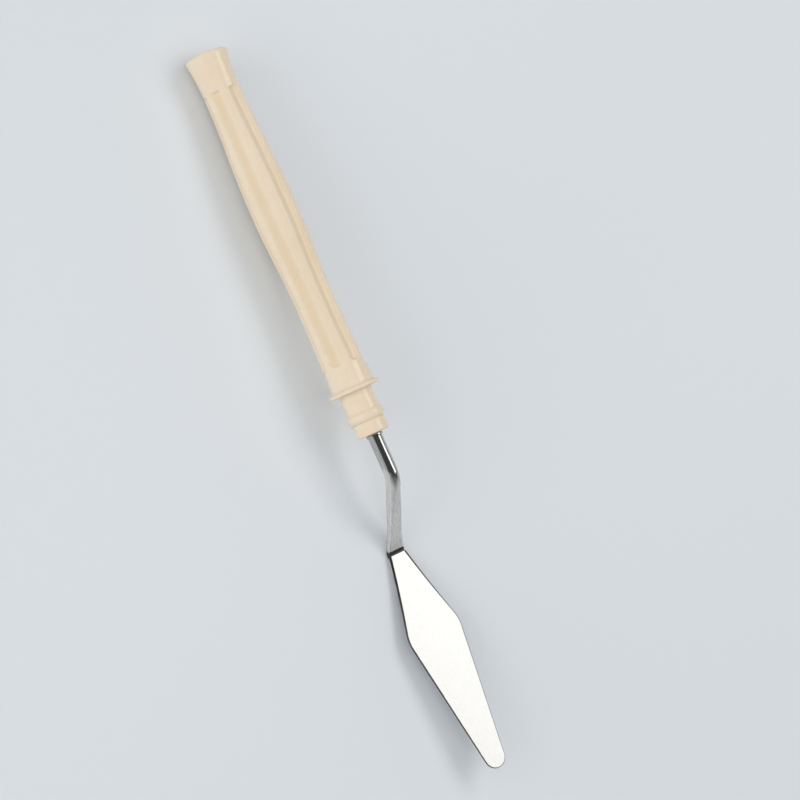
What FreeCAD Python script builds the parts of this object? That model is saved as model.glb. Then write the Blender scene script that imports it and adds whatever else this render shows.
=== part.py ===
import FreeCAD, Part
import os
import re
from math import asin, atan2, degrees
import Sketcher
from FreeCAD import Placement, Rotation, Vector

# Palette knife: a fluted plastic handle moulded round a cranked steel shank, and a brazed-on blade.
#
# Millimetres.  The knife lies on a table, blade face up, on the rim of its butt and the heel of its
# shank.  +X runs from the butt to the blade's tip, +Z is up, and the origin is under its middle.
#
# Every piece is drawn in one of two frames of its own:
#   handle frame  - X along the handle's axis, origin at the middle of the nose, for handle and shank;
#   blade frame   - X along the blade, origin where the middle planes of the crank and of the blade's
#                   root cross, for the blade and the braze.

SIZES = {
    # handle, lengths from the butt end
    "handle_length": 110.0,
    "butt_radius": 5.9,
    "butt_dome": 0.5,
    "butt_edge": 1.0,
    "waist_at": 11.0,
    "waist_radius": 5.12,
    "swell_at": 45.0,
    "swell_radius": 6.22,
    # handle, lengths from the nose
    "narrow_from_nose": 37.0,
    "narrow_radius": 5.35,
    "flare_radius": 5.95,
    "flange_thickness": 1.75,
    "flange_rim": 1.2,
    "flange_radius": 7.1,
    "neck_length": 5.6,
    "neck_radius": 4.6,
    "bead_length": 2.7,
    "bead_radius": 5.25,
    "groove_length": 0.3,
    "groove_radius": 4.3,
    "ring_length": 3.6,
    "ring_radius": 4.5,
    "ring_edge": 0.7,
    # flutes
    "flute_count": 6,
    "flute_turn": -9.0,
    "flute_hollow": 3.2,
    "flute_depth": 0.7,
    "flute_end_gap": 6.4,
    "flute_ramp": 1.4,
    # shank
    "rod_diameter": 4.0,
    "tang_length": 38.0,
    "tang_chamfer": 0.6,
    "mould_gap": 0.02,
    "ear_at": 22.0,
    "ear_length": 7.0,
    "ear_reach": 1.0,
    "ear_thickness": 1.2,
    "collar_lip": 0.3,
    "collar_length": 0.9,
    "rod_run": 12.3,
    "bend_radius": 7.0,
    "crank_drop": 14.4,
    "crank_angle": 37.5,
    "flat_run": 4.0,
    "flare_above_heel": 6.0,
    "heel_width": 5.5,
    "heel_radius": 2.4,
    "tongue_length": 10.5,
    "tongue_root": 0.75,
    "tongue_end": 0.4,
    "tongue_inset": 0.03,
    # blade
    "blade_tilt": 3.0,
    "blade_length": 64.0,
    "blade_width": 17.8,
    "blade_widest_at": 23.5,
    "blade_flank_radius": 260.0,
    "blade_corner_radius": 10.0,
    "blade_tip_radius": 3.3,
    "blade_thickness": 0.6,
    "blade_tip_thickness": 0.4,
    "blade_edge": 0.12,
    "braze_inset": 0.2,
    # how far a cutting shape runs past what it cuts
    "overcut": 1.0,
}

# Lengths that follow from the sizes, as formulas of their names.
DERIVED = {
    "turn": "(crank_angle + blade_tilt)",
    "heel_half": "((blade_thickness + tongue_root) / 2)",
    "heel_crown": "(3 * heel_half)",
    "heel_lap": "(heel_half * tan(turn / 2))",
    "heel_reach": "(heel_radius * tan(turn / 2))",
    "crank_length": "(crank_drop / sin(crank_angle))",
    "bend_reach": "(bend_radius * tan(crank_angle / 2))",
    "crank_run": "(crank_length - bend_reach)",
    "bend_start": "(rod_run - bend_reach)",
    "step_length": "(blade_thickness / tan(turn))",
    "blade_heel_at": "(heel_lap + step_length)",
    "rod_radius": "(rod_diameter / 2)",
    "bore_radius": "(rod_radius + mould_gap)",
    "groove_at": "(-ring_length)",
    "bead_end": "(-ring_length - groove_length)",
    "bead_start": "(bead_end - bead_length)",
    "flange_foot": "(bead_start - neck_length)",
    "flange_top": "(flange_foot - flange_thickness)",
    "narrow_at": "(-narrow_from_nose)",
    "waist_x": "(waist_at - handle_length)",
    "swell_x": "(swell_at - handle_length)",
    "waist_run": "((swell_x - waist_x) / 2)",
    "waist_rise": "((swell_radius - waist_radius) / 2)",
    "swell_run": "((narrow_at - swell_x) / 2)",
    "swell_fall": "((swell_radius - narrow_radius) / 2)",
    "flare_run": "(flange_top - narrow_at)",
    "flare_rise": "(flare_radius - narrow_radius)",
    "flute_end": "(flange_top - flute_end_gap)",
    "flute_run": "(flute_end - narrow_at)",
    "flute_rise": "(flare_rise * (flute_run / flare_run) ^ 2)",
    "flute_cut": "(3 * flute_depth)",
    "flute_lip": "sqrt(flute_hollow ^ 2 - (flute_hollow - flute_cut) ^ 2)",
    "collar_radius": "(rod_radius + collar_lip)",
    "trim_reach": "(tongue_length + overcut)",
    "trim_width": "(2 * blade_width)",
    "bend_end_x": "(bend_start + bend_radius * sin(crank_angle))",
    "bend_end_z": "(-bend_radius * (1 - cos(crank_angle)))",
    "crank_reach": "(crank_length + heel_lap + overcut)",
    "flare_at": "(crank_length - flare_above_heel)",
    "root_x": "(rod_run + crank_length * cos(crank_angle))",
    "tip_centre": "(blade_length - blade_tip_radius)",
    "taper_run": "(tip_centre - blade_widest_at)",
    "taper_angle": "(atan(blade_width / 2 / taper_run)"
                   " - asin(blade_tip_radius / sqrt(taper_run ^ 2 + (blade_width / 2) ^ 2)))",
}

NEAR = 0.001       # two places this close are the same place
LEAST_CUT = 0.01   # a cut takes away at least this many cubic millimetres

doc = FreeCAD.newDocument("palette_knife")
sheet = doc.addObject("Spreadsheet::Sheet", "Sizes")
for row, (alias, number) in enumerate(SIZES.items(), start=1):
    sheet.set(f"A{row}", alias)
    sheet.set(f"B{row}", str(number))
    sheet.setAlias(f"B{row}", alias)
doc.recompute()


def formula(text):
    """Spell out derived names, then point every size name at its cell on the sheet."""
    text = str(text)
    while any(name in DERIVED for name in re.findall(r"[a-z_]+", text)):
        text = re.sub(r"[a-z_]+", lambda m: DERIVED.get(m[0], m[0]), text)
    return re.sub(r"[a-z_]+", lambda m: "Sizes." + m[0] if m[0] in SIZES else m[0], text)


def value(text):
    """The number that a formula gives with the sheet as it stands."""
    number = sheet.evalExpression(formula(text))
    return float(getattr(number, "Value", number))


def bind(feature, prop, text):
    feature.setExpression(prop, formula(text))


# ---------------------------------------------------------------- sketches

def new_body(name):
    body = doc.addObject("PartDesign::Body", name)
    body.Label = name
    return body


def origin_feature(body, role):
    return next(f for f in body.Origin.OriginFeatures if f.Role == role)


def new_sketch(body, name, plane, place=("0", "0", "0"), turn="0", about=Vector(0, 0, 1)):
    """A sketch on an origin plane, moved and turned in that plane's own axes by formulas."""
    sketch = body.newObject("Sketcher::SketchObject", name)
    sketch.AttachmentSupport = [(origin_feature(body, plane), "")]
    sketch.MapMode = "FlatFace"
    sketch.AttachmentOffset = Placement(Vector(0, 0, 0), Rotation(about, value(turn)))
    if turn != "0":
        bind(sketch, "AttachmentOffset.Rotation.Angle", turn)
    for axis, text in zip("xyz", place):
        if text != "0":
            bind(sketch, f"AttachmentOffset.Base.{axis}", text)
    return sketch


def arc_between(start, end, radius, side):
    """The short arc from start to end; its centre lies to the given side of the way there."""
    chord = end - start
    half = chord.Length / 2
    left = Vector(-chord.y, chord.x, 0).normalize()
    reach = max(radius ** 2 - half ** 2, 0) ** 0.5
    centre = (start + end) * 0.5 + left * (reach if side == "left" else -reach)
    if side == "left":
        return Part.ArcOfCircle(Part.Circle(centre, Vector(0, 0, 1), radius),
                                atan2(start.y - centre.y, start.x - centre.x),
                                atan2(end.y - centre.y, end.x - centre.x)), (1, 2)
    return Part.ArcOfCircle(Part.Circle(centre, Vector(0, 0, 1), radius),
                            atan2(end.y - centre.y, end.x - centre.x),
                            atan2(start.y - centre.y, start.x - centre.x)), (2, 1)


def draw(sketch, corners, closed=True):
    """Draw a run of lines and arcs, each corner (x, y) or (x, y, radius, side) as formulas.

    A radius and side make the edge from that corner to the next an arc.  Every corner's place and
    every radius is a constraint bound to the sheet.
    """
    points = [Vector(value(c[0]), value(c[1]), 0) for c in corners]
    count = len(corners) if closed else len(corners) - 1
    first_edge = sketch.GeometryCount
    shapes = []
    ends = []
    for i in range(count):
        start = points[i]
        end = points[(i + 1) % len(points)]
        if len(corners[i]) == 2:
            shapes.append(Part.LineSegment(start, end))
            ends.append((1, 2))
        else:
            shape, order = arc_between(start, end, value(corners[i][2]), corners[i][3])
            shapes.append(shape)
            ends.append(order)
    sketch.addGeometry(shapes, False)
    rules = []
    named = []

    def pin(edge, end, axis, text):
        if str(text) == "0":
            rules.append(Sketcher.Constraint("PointOnObject", edge, end, -2 if axis == "X" else -1))
            return
        rules.append(Sketcher.Constraint("Distance" + axis, -1, 1, edge, end, value(text)))
        named.append((len(rules) - 1, text))

    for i in range(count):
        edge = first_edge + i
        pin(edge, ends[i][0], "X", corners[i][0])
        pin(edge, ends[i][0], "Y", corners[i][1])
        if len(corners[i]) == 4:
            rules.append(Sketcher.Constraint("Radius", edge, value(corners[i][2])))
            named.append((len(rules) - 1, corners[i][2]))
        if closed or i + 1 < count:
            after = (i + 1) % count
            rules.append(Sketcher.Constraint("Coincident", edge, ends[i][1],
                                             first_edge + after, ends[after][0]))
    if not closed:
        pin(first_edge + count - 1, ends[-1][1], "X", corners[-1][0])
        pin(first_edge + count - 1, ends[-1][1], "Y", corners[-1][1])
    first_rule = sketch.ConstraintCount
    sketch.addConstraint(rules)
    for index, text in named:
        bind(sketch, f"Constraints[{first_rule + index}]", text)
    return sketch


def draw_round(sketch, radius, wide=None):
    """A circle about the sketch's origin, or an ellipse with its long axis along the sketch's X."""
    if wide is None:
        sketch.addGeometry(Part.Circle(Vector(0, 0, 0), Vector(0, 0, 1), value(radius)), False)
        sketch.addConstraint(Sketcher.Constraint("Coincident", 0, 3, -1, 1))
        sketch.addConstraint(Sketcher.Constraint("Radius", 0, value(radius)))
        bind(sketch, "Constraints[1]", radius)
        return sketch
    sketch.addGeometry(Part.Ellipse(Vector(value(wide), 0, 0), Vector(0, value(radius), 0),
                                    Vector(0, 0, 0)), False)
    sketch.exposeInternalGeometry(0)
    sketch.addConstraint(Sketcher.Constraint("Coincident", 0, 3, -1, 1))
    sketch.addConstraint(Sketcher.Constraint("PointOnObject", 1, 2, -1))
    first_rule = sketch.ConstraintCount
    sketch.addConstraint(Sketcher.Constraint("Distance", 1, 1, 1, 2, 2 * value(wide)))
    sketch.addConstraint(Sketcher.Constraint("Distance", 2, 1, 2, 2, 2 * value(radius)))
    bind(sketch, f"Constraints[{first_rule}]", f"2 * ({wide})")
    bind(sketch, f"Constraints[{first_rule + 1}]", f"2 * ({radius})")
    return sketch


# ---------------------------------------------------------------- features

def revolve(body, name, sketch, axis="H_Axis"):
    feature = body.newObject("PartDesign::Revolution", name)
    feature.Profile = sketch
    feature.ReferenceAxis = (sketch, [axis])
    feature.Angle = 360
    return feature


def pad(body, name, sketch, length, symmetric=False, downward=False):
    feature = body.newObject("PartDesign::Pad", name)
    feature.Profile = sketch
    feature.Reversed = downward
    if symmetric:
        feature.SideType = "Symmetric"
    bind(feature, "Length", length)
    return feature


def pocket_across(body, name, sketch, width):
    """Cut the sketched area away over a width centred on the sketch's plane."""
    feature = body.newObject("PartDesign::Pocket", name)
    feature.Profile = sketch
    feature.SideType = "Symmetric"
    bind(feature, "Length", width)
    return feature


def checked_cut(body, feature):
    """Recompute, and refuse a cut that took nothing away."""
    before = feature.BaseFeature.Shape.Volume
    doc.recompute()
    if not feature.Shape.Volume < before - LEAST_CUT:
        raise RuntimeError(f"{feature.Name} cuts nothing from {body.Label}")
    body.Tip = feature


# ---------------------------------------------------------------- handle

def sagitta_radius(run, rise):
    """The radius of an arc that leaves level and has risen by this much after this run."""
    return f"(({run} ^ 2 + {rise} ^ 2) / (2 * {rise}))"


def grip_curve(depth):
    """The grip's double ogee from waist to swell to narrowing, this deep under its surface."""
    waist_arc = sagitta_radius("waist_run", "waist_rise")
    swell_arc = sagitta_radius("swell_run", "swell_fall")
    return [
        ("waist_x", f"waist_radius - {depth}", waist_arc, "left"),
        ("waist_x + waist_run", f"waist_radius + waist_rise - {depth}", waist_arc, "right"),
        ("swell_x", f"swell_radius - {depth}", swell_arc, "right"),
        ("swell_x + swell_run", f"swell_radius - swell_fall - {depth}", swell_arc, "left"),
    ]


def handle_outline():
    """The half section of the handle: butt, ogee grip, flange, neck, bead, ring and blind bore."""
    butt_run = "(waist_at - butt_dome - butt_edge)"
    butt_flare = "(butt_radius - waist_radius)"
    dome_width = "(butt_radius - butt_edge)"
    rim = "(flange_rim / 2)"
    bead_arc = sagitta_radius("(bead_length / 2)", "(bead_radius - neck_radius)")
    bore_end = "-(tang_length + mould_gap)"
    return [
        ("-handle_length", "0", sagitta_radius(dome_width, "butt_dome"), "right"),
        ("butt_dome - handle_length", dome_width, "butt_edge", "right"),
        ("butt_dome + butt_edge - handle_length", "butt_radius",
         sagitta_radius(butt_run, butt_flare), "left"),
        *grip_curve("0"),
        ("narrow_at", "narrow_radius", sagitta_radius("flare_run", "flare_rise"), "left"),
        ("flange_top", "flare_radius"),
        ("flange_foot - flange_rim", f"flange_radius - {rim}", rim, "right"),
        (f"flange_foot - {rim}", "flange_radius", rim, "right"),
        ("flange_foot", f"flange_radius - {rim}"),
        ("flange_foot", "neck_radius"),
        ("bead_start", "neck_radius", bead_arc, "right"),
        ("bead_end", "neck_radius"),
        ("bead_end", "groove_radius"),
        ("groove_at", "groove_radius"),
        ("groove_at", "ring_radius"),
        ("-ring_edge", "ring_radius", "ring_edge", "right"),
        ("0", "ring_radius - ring_edge"),
        ("0", "bore_radius"),
        (bore_end, "bore_radius"),
        (bore_end, "0"),
    ]


def flute_path():
    """The bottom of a flute, one depth under the handle's surface, then a ramp out of it."""
    return [
        *grip_curve("flute_depth"),
        ("narrow_at", "narrow_radius - flute_depth",
         sagitta_radius("flute_run", "flute_rise"), "left"),
        ("flute_end", "narrow_radius + flute_rise - flute_depth"),
        ("flute_end + flute_ramp", "narrow_radius + flute_rise + flute_depth"),
    ]


def build_handle():
    body = new_body("handle")
    revolve(body, "HandleBlank", draw(new_sketch(body, "HandleSection", "XZ_Plane"), handle_outline()))
    doc.recompute()

    path = draw(new_sketch(body, "FlutePath", "XZ_Plane", turn="flute_turn", about=Vector(1, 0, 0)),
                flute_path(), closed=False)
    lip_at = "waist_radius - flute_depth + flute_cut"
    section = draw(new_sketch(body, "FluteSection", "YZ_Plane", ("0", "0", "waist_x"), "flute_turn"),
                   [("-flute_lip", lip_at, "flute_hollow", "left"), ("flute_lip", lip_at)])
    doc.recompute()
    flute = body.newObject("PartDesign::SubtractivePipe", "Flute")
    flute.Profile = section
    flute.Spine = (path, [])
    flute.Transition = "Right corner"
    checked_cut(body, flute)

    flutes = body.newObject("PartDesign::PolarPattern", "Flutes")
    flutes.Originals = [flute]
    flutes.Axis = (origin_feature(body, "X_Axis"), [""])
    flutes.Angle = 360
    bind(flutes, "Occurrences", "flute_count")
    body.Tip = flutes
    doc.recompute()

    ears = draw(new_sketch(body, "EarSlots", "XY_Plane"), ear_outline("mould_gap"))
    doc.recompute()
    slots = pocket_across(body, "EarPocket", ears, "ear_thickness + 2 * mould_gap")
    checked_cut(body, slots)
    return body


# ---------------------------------------------------------------- shank

def ear_outline(gap):
    """The plan of the pinched ears that stop the tang turning, grown by a gap all round."""
    near = f"(-ear_at + ear_length / 2 + {gap})"
    far = f"(-ear_at - ear_length / 2 - {gap})"
    side = f"(rod_radius + ear_reach + {gap})"
    return [(far, f"-{side}"), (near, f"-{side}"), (near, side), (far, side)]


def tongue_outline():
    """The plan of the thin fan under the blade, just inside the blade's own outline."""
    half = "(heel_width / 2 - tongue_inset)"
    end_half = f"({blade_flank_half()} - tongue_inset)"
    return [
        ("-heel_lap", f"-{half}"),
        ("blade_heel_at", f"-{half}", "blade_flank_radius", "right"),
        ("tongue_length", f"-{end_half}"),
        ("tongue_length", end_half, "blade_flank_radius", "right"),
        ("blade_heel_at", half),
        ("-heel_lap", half),
    ]


def above_crank():
    """What is cut from over the crank and the tongue: the crank's taper, then the blade's seat."""
    corner_x = "(-heel_lap + blade_thickness / sin(turn))"
    return [
        ("-crank_run", "rod_radius"),
        ("-flat_run", "heel_half"),
        (corner_x, "heel_half"),
        (f"{corner_x} + trim_reach * cos(turn)", "heel_half + trim_reach * sin(turn)"),
        ("-crank_run", "heel_half + trim_reach * sin(turn)"),
    ]


def below_crank():
    """What is cut from under them: the crank's taper, the heel bend and the tongue's taper."""
    rise = "(-heel_half + (tongue_root - tongue_end) / tongue_length * trim_reach)"
    end_x = f"(trim_reach * cos(turn) - {rise} * sin(turn))"
    return [
        ("-crank_run", "-rod_radius"),
        ("-flat_run", "-heel_half"),
        ("heel_lap - heel_reach", "-heel_half", "heel_radius", "left"),
        ("heel_lap + heel_reach * cos(turn)", "-heel_half + heel_reach * sin(turn)"),
        (end_x, f"trim_reach * sin(turn) + {rise} * cos(turn)"),
        (end_x, "-2 * trim_reach"),
        ("-crank_run", "-2 * trim_reach"),
    ]


def along_crank(distance):
    """The place on the YZ plane's axes this far down the crank from where its line leaves the rod's."""
    return ("0", f"-{distance} * sin(crank_angle)", f"rod_run + {distance} * cos(crank_angle)")


def build_shank():
    body = new_body("shank")
    rod = [
        ("-tang_length", "0"),
        ("-tang_length", "rod_radius - tang_chamfer"),
        ("tang_chamfer - tang_length", "rod_radius"),
        ("0", "rod_radius"),
        ("0", "collar_radius"),
        ("collar_length", "collar_radius"),
        ("collar_length", "rod_radius"),
        ("bend_start", "rod_radius"),
        ("bend_start", "0"),
    ]
    revolve(body, "Rod", draw(new_sketch(body, "RodSection", "XZ_Plane"), rod))
    ears = draw(new_sketch(body, "EarPlan", "XY_Plane"), ear_outline("0"))
    pad(body, "Ears", ears, "ear_thickness", symmetric=True)
    doc.recompute()

    round_bar = draw_round(new_sketch(body, "BendSection", "YZ_Plane", ("0", "0", "bend_start")),
                           "rod_radius")
    bend_path = draw(new_sketch(body, "BendPath", "XZ_Plane"),
                     [("bend_start", "0", "bend_radius", "right"), ("bend_end_x", "bend_end_z")],
                     closed=False)
    bend = body.newObject("PartDesign::AdditivePipe", "Bend")
    bend.Profile = round_bar
    bend.Spine = (bend_path, [])
    doc.recompute()

    across = Vector(1, 0, 0)
    crank_top = draw_round(new_sketch(body, "CrankTop", "YZ_Plane", ("0", "bend_end_z", "bend_end_x"),
                                      "crank_angle", across), "rod_radius", "rod_radius")
    crank_waist = draw_round(new_sketch(body, "CrankWaist", "YZ_Plane", along_crank("flare_at"),
                                        "crank_angle", across), "rod_radius", "rod_radius")
    crank_foot = draw_round(new_sketch(body, "CrankFoot", "YZ_Plane", along_crank("crank_reach"),
                                       "crank_angle", across), "heel_crown", "heel_width / 2")
    crank = body.newObject("PartDesign::AdditiveLoft", "Crank")
    crank.Profile = crank_top
    crank.Sections = [crank_waist, crank_foot]
    crank.Ruled = True
    doc.recompute()

    tongue = new_sketch(body, "TonguePlan", "XY_Plane", ("root_x", "0", "-crank_drop"), "-blade_tilt",
                        Vector(0, 1, 0))
    pad(body, "Tongue", draw(tongue, tongue_outline()), "2 * heel_half", symmetric=True)
    doc.recompute()

    for name, outline in (("AboveCrank", above_crank()), ("BelowCrank", below_crank())):
        side = draw(new_sketch(body, name, "XZ_Plane", ("root_x", "-crank_drop", "0"), "-crank_angle"),
                    outline)
        doc.recompute()
        checked_cut(body, pocket_across(body, name + "Cut", side, "trim_width"))
    return body


# ---------------------------------------------------------------- blade and braze

def blade_flank_half():
    """Half the blade's width at the tongue's end, on the hollow flank from the heel to the corner."""
    run = "(tongue_length - blade_heel_at)"
    whole = "(blade_widest_at - blade_heel_at)"
    return (f"(heel_width / 2 + (blade_width - heel_width) / 2 * {run} / {whole}"
            f" - {run} * ({whole} - {run}) / (2 * blade_flank_radius))")


def build_blade():
    body = new_body("blade")
    tip_lean = "(blade_tip_radius * sin(taper_angle))"
    tip_half = "(blade_tip_radius * cos(taper_angle))"
    outline = [
        ("blade_heel_at", "heel_width / 2", "blade_flank_radius", "left"),
        ("blade_widest_at", "blade_width / 2"),
        (f"tip_centre + {tip_lean}", tip_half, "blade_tip_radius", "right"),
        (f"tip_centre + {tip_lean}", f"-{tip_half}"),
        ("blade_widest_at", "-blade_width / 2", "blade_flank_radius", "left"),
        ("blade_heel_at", "-heel_width / 2"),
    ]
    plan = draw(new_sketch(body, "BladePlan", "XY_Plane", ("0", "0", "heel_half")), outline)
    pad(body, "BladePlate", plan, "blade_thickness", downward=True)
    doc.recompute()

    underside = "heel_half - blade_thickness"
    wedge = draw(new_sketch(body, "BladeTaper", "XZ_Plane"),
                 [("tongue_length + overcut", underside), ("blade_length + overcut", underside),
                  ("blade_length + overcut", "heel_half - blade_tip_thickness")])
    doc.recompute()
    checked_cut(body, pocket_across(body, "BladeTaperCut", wedge, "trim_width"))

    corners = body.newObject("PartDesign::Fillet", "BladeCorners")
    corners.Base = (corners.BaseFeature, upright_edges(corners.BaseFeature.Shape,
                                                       value("blade_widest_at")))
    bind(corners, "Radius", "blade_corner_radius")
    doc.recompute()

    edge = body.newObject("PartDesign::Chamfer", "BladeEdge")
    edge.Base = (corners, rim_edges(corners.Shape, value("heel_half"), value("blade_heel_at")))
    bind(edge, "Size", "blade_edge")
    doc.recompute()
    return body


def upright_edges(shape, x):
    """The names of the edges that stand along Z at this x."""
    names = []
    for i, edge in enumerate(shape.Edges, start=1):
        start, end = edge.Vertexes
        if abs(start.X - x) < NEAR and abs(end.X - x) < NEAR and abs(start.Y - end.Y) < NEAR:
            names.append(f"Edge{i}")
    return names


def rim_edges(shape, z, heel_x):
    """The names of the top face's edges, apart from the straight one across the heel."""
    names = []
    for i, edge in enumerate(shape.Edges, start=1):
        on_top = all(abs(v.Z - z) < NEAR for v in edge.Vertexes)
        across_heel = all(abs(v.X - heel_x) < NEAR for v in edge.Vertexes)
        if on_top and not across_heel:
            names.append(f"Edge{i}")
    return names


def build_braze():
    """The fillet of brazing metal in the corner where the crank meets the heel of the blade."""
    body = new_body("heel_braze")
    section = [
        ("blade_heel_at", "heel_half - blade_thickness"),
        ("heel_lap - step_length * cos(turn)", "heel_half + step_length * sin(turn)",
         "step_length / tan(turn / 2)", "left"),
        ("blade_heel_at", "heel_half"),
    ]
    pad(body, "Fillet", draw(new_sketch(body, "FilletSection", "XZ_Plane"), section),
        "heel_width - 2 * braze_inset", symmetric=True)
    doc.recompute()
    return body


# ---------------------------------------------------------------- assembly

def place_at_rest(handle_frame, blade_frame):
    """Lay the knife on the plane Z = 0, on the rim of its butt and the outside of its heel bend."""
    crank = Placement(Vector(value("root_x"), 0, -value("crank_drop")),
                      Rotation(Vector(0, 1, 0), value("crank_angle")))
    root = Placement(crank.Base, Rotation(Vector(0, 1, 0), -value("blade_tilt")))
    butt = Vector(value("butt_dome + butt_edge - handle_length"), 0,
                  value("butt_edge - butt_radius"))
    heel = crank.multVec(Vector(value("heel_lap - heel_reach"), 0, value("heel_radius - heel_half")))
    between = heel - butt
    slope = degrees(atan2(between.z, between.x))
    rise = degrees(asin((value("heel_radius") - value("butt_edge")) / between.Length))
    level = Rotation(Vector(0, 1, 0), slope - rise)
    lift = Vector(0, 0, value("butt_edge") - level.multVec(butt).z)

    def lay():
        rest = Placement(lift, level)
        for body in handle_frame:
            body.Placement = rest
        for body in blade_frame:
            body.Placement = rest * root
        doc.recompute()

    lay()
    boxes = [body.Shape.optimalBoundingBox(False, False) for body in handle_frame + blade_frame]
    lift.x = -(min(box.XMin for box in boxes) + max(box.XMax for box in boxes)) / 2
    lay()


def check_and_write(bodies):
    for feature in doc.Objects:
        if "Invalid" in feature.State or "Error" in feature.State:
            raise RuntimeError(f"{feature.Label} failed: {feature.State}")
    os.makedirs("parts", exist_ok=True)
    for body in bodies:
        shape = body.Shape
        if shape.isNull() or not shape.isValid() or len(shape.Solids) != 1:
            raise RuntimeError(f"{body.Label} is not one valid solid")
        shape.exportStep(f"parts/{body.Label}.step")


handle = build_handle()
shank = build_shank()
blade = build_blade()
braze = build_braze()
place_at_rest([handle, shank], [blade, braze])
check_and_write([handle, shank, blade, braze])
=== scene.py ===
from math import asin, atan2, cos, pi, radians, sin, sqrt, tan

import bmesh
import bpy
import numpy as np
from mathutils import Matrix, Vector


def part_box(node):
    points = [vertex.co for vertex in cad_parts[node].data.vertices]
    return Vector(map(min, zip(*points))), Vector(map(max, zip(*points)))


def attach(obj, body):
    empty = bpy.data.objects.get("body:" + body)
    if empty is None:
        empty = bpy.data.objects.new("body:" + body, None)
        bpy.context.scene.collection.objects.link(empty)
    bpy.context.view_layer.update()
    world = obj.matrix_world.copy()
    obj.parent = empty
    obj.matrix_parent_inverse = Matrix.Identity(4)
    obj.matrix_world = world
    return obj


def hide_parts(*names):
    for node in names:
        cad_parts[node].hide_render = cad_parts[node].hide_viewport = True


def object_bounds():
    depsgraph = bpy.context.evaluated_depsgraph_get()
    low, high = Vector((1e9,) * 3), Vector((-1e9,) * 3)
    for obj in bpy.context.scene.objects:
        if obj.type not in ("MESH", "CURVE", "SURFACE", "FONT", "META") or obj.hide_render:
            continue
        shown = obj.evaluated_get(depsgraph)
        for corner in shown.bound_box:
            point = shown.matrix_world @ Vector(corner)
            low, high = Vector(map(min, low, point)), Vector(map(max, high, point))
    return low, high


# Looks for the palette knife.  Every piece is drawn in millimetres in one of the knife's own frames and
# then laid in the shared frame, where the knife rests on the floor:
#   handle frame - X along the handle towards the nose, origin at the middle of the nose;
#   crank frame  - X down the crank, origin where the crank's and the blade's middle planes cross;
#   blade frame  - the same origin, X along the blade.
MM = 0.001
HAIR = 0.008                # how far the looks keep inside the solids where those are widest and highest
WELD, SLIVER = 1e-5, 1e-6   # points and edges this small are joined or dropped

# handle
HANDLE_LENGTH = 110.0
BUTT_RADIUS, BUTT_DOME, BUTT_EDGE = 5.9, 0.5, 1.0
WAIST_X, WAIST_RADIUS = 11.0 - HANDLE_LENGTH, 5.12
SWELL_X, SWELL_RADIUS = 45.0 - HANDLE_LENGTH, 6.22
NARROW_X, NARROW_RADIUS = -37.0, 5.35
FLARE_RADIUS = 5.95
FLANGE_THICKNESS, FLANGE_RIM, FLANGE_RADIUS = 1.75, 1.2, 7.1 - HAIR
NECK_LENGTH, NECK_RADIUS = 5.6, 4.6
BEAD_LENGTH, BEAD_RADIUS = 2.7, 5.25
GROOVE_LENGTH, GROOVE_RADIUS = 0.3, 4.3
RING_LENGTH, RING_RADIUS, RING_EDGE = 3.6, 4.5, 0.7
GROOVE_X = -RING_LENGTH
BEAD_END_X = GROOVE_X - GROOVE_LENGTH
BEAD_X = BEAD_END_X - BEAD_LENGTH
FLANGE_FOOT_X = BEAD_X - NECK_LENGTH
FLANGE_X = FLANGE_FOOT_X - FLANGE_THICKNESS
BORE_RADIUS, BORE_DEPTH = 2.02, 38.02

# flutes
FLUTE_COUNT, FLUTE_TURN = 6, radians(-9.0)
SECTOR = 2 * pi / FLUTE_COUNT
FLUTE_HOLLOW, FLUTE_DEPTH = 3.2, 0.7
FLUTE_REACH = 0.95 * FLUTE_HOLLOW        # the round hollow is followed out to here, past both lips
FLUTE_HEAD, FLUTE_HEAD_LEAD = 0.6, 0.3   # run of the slope at the upper end, and its share above the waist
FLUTE_END_X = FLANGE_X - 6.4
FLUTE_RAMP = 0.7                         # run of the slope at the lower end
FLUTE_LIP = 0.09                         # rounding where a flute meets the land beside it
# sideways places of the mesh's lines, from the middle of a flute to just past its lip; then the even lands
FLUTE_LINES = np.array([0, 0.3, 0.6, 0.9, 1.15, 1.35, 1.47, 1.55, 1.61, 1.66, 1.71, 1.76, 1.82, 1.9, 2.05])
LAND_LINES = 4

# shank
ROD_RADIUS = 2.0
TANG_LENGTH, TANG_CHAMFER = 38.0, 0.6
EAR_X, EAR_LENGTH, EAR_WIDTH, EAR_THICKNESS = -22.0, 7.0, 6.0, 1.2
COLLAR_RADIUS, COLLAR_LENGTH = 2.3, 0.9
ROD_RUN, BEND_RADIUS = 12.3, 7.0
CRANK_DROP, CRANK_ANGLE = 14.4, radians(37.5)
FLAT_RUN, FLARE_ABOVE_HEEL, OVERCUT = 4.0, 6.0, 1.0
HEEL_WIDTH, HEEL_RADIUS = 5.5, 2.4
TONGUE_LENGTH, TONGUE_ROOT, TONGUE_END, TONGUE_INSET = 10.5, 0.75, 0.4, 0.03
FLAT_ROUNDING, TONGUE_FLATNESS = 0.35, 0.3
GROUND_FROM, GROUND_SLANT, GROUND_FADE = 50.9, 1.6, 0.6   # edge of the satin grinding, from the tang's end
HEEL_SHADE_RUN, HEEL_SHADE_FADE = 0.15, 0.25                        # painted dark reflection and shade on the heel bend, fading in just above it
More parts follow.
